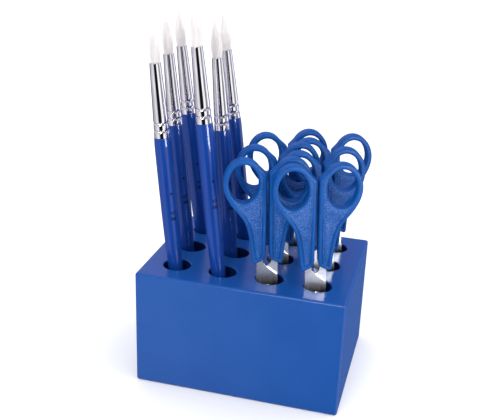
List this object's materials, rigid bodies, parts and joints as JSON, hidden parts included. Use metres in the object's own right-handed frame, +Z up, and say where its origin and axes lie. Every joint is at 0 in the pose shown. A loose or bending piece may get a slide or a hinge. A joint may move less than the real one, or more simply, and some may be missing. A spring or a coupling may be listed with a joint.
{
  "type": "tool storage caddy",
  "caption": "Rectangular drilled wooden block holding round paint brushes and small scissors upright in blind holes.",
  "frame": {"origin": "centre of the block's flat underside", "axes": "+X along the block's long side, +Y towards its back, +Z up, out of the holes"},
  "size_m": [0.1468, 0.111, 0.2629],
  "materials": {
    "block_paint": "semi-gloss blue paint on wood",
    "handle_lacquer": "high-gloss blue lacquer on turned wood",
    "ferrule_metal": "polished nickel plate",
    "glue": "set resin",
    "hair": "fine white synthetic hair",
    "grip_plastic": "satin moulded plastic with a fine grain",
    "blade_steel": "brushed stainless, ground below the crossing",
    "rivet_steel": "bright steel"
  },
  "bodies": {
    "block": {"block": "block_paint"},
    "brush_1": {"brush_1_handle": "handle_lacquer", "brush_1_ferrule": "ferrule_metal", "brush_1_glue": "glue", "brush_1_hair": "hair"},
    "brush_2": {"brush_2_handle": "handle_lacquer", "brush_2_ferrule": "ferrule_metal", "brush_2_glue": "glue", "brush_2_hair": "hair"},
    "brush_3": {"brush_3_handle": "handle_lacquer", "brush_3_ferrule": "ferrule_metal", "brush_3_glue": "glue", "brush_3_hair": "hair"},
    "brush_4": {"brush_4_handle": "handle_lacquer", "brush_4_ferrule": "ferrule_metal", "brush_4_glue": "glue", "brush_4_hair": "hair"},
    "brush_5": {"brush_5_handle": "handle_lacquer", "brush_5_ferrule": "ferrule_metal", "brush_5_glue": "glue", "brush_5_hair": "hair"},
    "brush_6": {"brush_6_handle": "handle_lacquer", "brush_6_ferrule": "ferrule_metal", "brush_6_glue": "glue", "brush_6_hair": "hair"},
    "scissors_1": {"scissors_1_front_blade": "blade_steel", "scissors_1_left_grip": "grip_plastic", "scissors_1_rivet": "rivet_steel"},
    "scissors_1_back_half": {"scissors_1_back_blade": "blade_steel", "scissors_1_right_grip": "grip_plastic"},
    "scissors_2": {"scissors_2_front_blade": "blade_steel", "scissors_2_left_grip": "grip_plastic", "scissors_2_rivet": "rivet_steel"},
    "scissors_2_back_half": {"scissors_2_back_blade": "blade_steel", "scissors_2_right_grip": "grip_plastic"},
    "scissors_3": {"scissors_3_front_blade": "blade_steel", "scissors_3_left_grip": "grip_plastic", "scissors_3_rivet": "rivet_steel"},
    "scissors_3_back_half": {"scissors_3_back_blade": "blade_steel", "scissors_3_right_grip": "grip_plastic"},
    "scissors_4": {"scissors_4_front_blade": "blade_steel", "scissors_4_left_grip": "grip_plastic", "scissors_4_rivet": "rivet_steel"},
    "scissors_4_back_half": {"scissors_4_back_blade": "blade_steel", "scissors_4_right_grip": "grip_plastic"},
    "scissors_5": {"scissors_5_front_blade": "blade_steel", "scissors_5_left_grip": "grip_plastic", "scissors_5_rivet": "rivet_steel"},
    "scissors_5_back_half": {"scissors_5_back_blade": "blade_steel", "scissors_5_right_grip": "grip_plastic"},
    "scissors_6": {"scissors_6_front_blade": "blade_steel", "scissors_6_left_grip": "grip_plastic", "scissors_6_rivet": "rivet_steel"},
    "scissors_6_back_half": {"scissors_6_back_blade": "blade_steel", "scissors_6_right_grip": "grip_plastic"}
  },
  "joints": [
    {"name": "brush_1_lift", "type": "slide", "parent": "block", "child": "brush_1", "axis": [-0.0895, -0.0228, 0.9957], "range_m": [0, 0.065]},
    {"name": "brush_2_lift", "type": "slide", "parent": "block", "child": "brush_2", "axis": [-0.0929, -0.0237, 0.9954], "range_m": [0, 0.065]},
    {"name": "brush_3_lift", "type": "slide", "parent": "block", "child": "brush_3", "axis": [-0.1097, -0.028, 0.9936], "range_m": [0, 0.065]},
    {"name": "brush_4_lift", "type": "slide", "parent": "block", "child": "brush_4", "axis": [-0.103, -0.0262, 0.9943], "range_m": [0, 0.065]},
    {"name": "brush_5_lift", "type": "slide", "parent": "block", "child": "brush_5", "axis": [-0.0861, -0.022, 0.996], "range_m": [0, 0.065]},
    {"name": "brush_6_lift", "type": "slide", "parent": "block", "child": "brush_6", "axis": [-0.1164, -0.0297, 0.9928], "range_m": [0, 0.065]},
    {"name": "scissors_1_lift", "type": "slide", "parent": "block", "child": "scissors_1", "axis": [-0.0312, -0.0113, 0.9995], "range_m": [0, 0.065]},
    {"name": "scissors_1_open", "type": "hinge", "parent": "scissors_1", "child": "scissors_1_back_half", "pos_m": [0.01493, -0.03357, 0.077], "axis": [-0.342, 0.9397, 0], "range_deg": [0, 6.5]},
    {"name": "scissors_2_lift", "type": "slide", "parent": "block", "child": "scissors_2", "axis": [-0.0518, -0.0209, 0.9984], "range_m": [0, 0.065]},
    {"name": "scissors_2_open", "type": "hinge", "parent": "scissors_2", "child": "scissors_2_back_half", "pos_m": [0.01538, -0.00045, 0.07701], "axis": [-0.3746, 0.9272, 0], "range_deg": [0, 7]},
    {"name": "scissors_3_lift", "type": "slide", "parent": "block", "child": "scissors_3", "axis": [-0.0574, -0.0255, 0.998], "range_m": [0, 0.065]},
    {"name": "scissors_3_open", "type": "hinge", "parent": "scissors_3", "child": "scissors_3_back_half", "pos_m": [0.01535, 0.03249, 0.07701], "axis": [-0.4067, 0.9135, 0], "range_deg": [0, 7]},
    {"name": "scissors_4_lift", "type": "slide", "parent": "block", "child": "scissors_4", "axis": [-0.0392, -0.0147, 0.9991], "range_m": [0, 0.065]},
    {"name": "scissors_4_open", "type": "hinge", "parent": "scissors_4", "child": "scissors_4_back_half", "pos_m": [0.048, -0.03356, 0.07701], "axis": [-0.3502, 0.9367, 0], "range_deg": [0, 7]},
    {"name": "scissors_5_lift", "type": "slide", "parent": "block", "child": "scissors_5", "axis": [-0.0797, -0.0306, 0.9963], "range_m": [0, 0.065]},
    {"name": "scissors_5_open", "type": "hinge", "parent": "scissors_5", "child": "scissors_5_back_half", "pos_m": [0.04828, -0.00047, 0.07703], "axis": [-0.3584, 0.9336, 0], "range_deg": [0, 7]},
    {"name": "scissors_6_lift", "type": "slide", "parent": "block", "child": "scissors_6", "axis": [-0.0764, -0.034, 0.9965], "range_m": [0, 0.065]},
    {"name": "scissors_6_open", "type": "hinge", "parent": "scissors_6", "child": "scissors_6_back_half", "pos_m": [0.0483, 0.03247, 0.07702], "axis": [-0.4067, 0.9135, 0], "range_deg": [0, 7]}
  ]
}
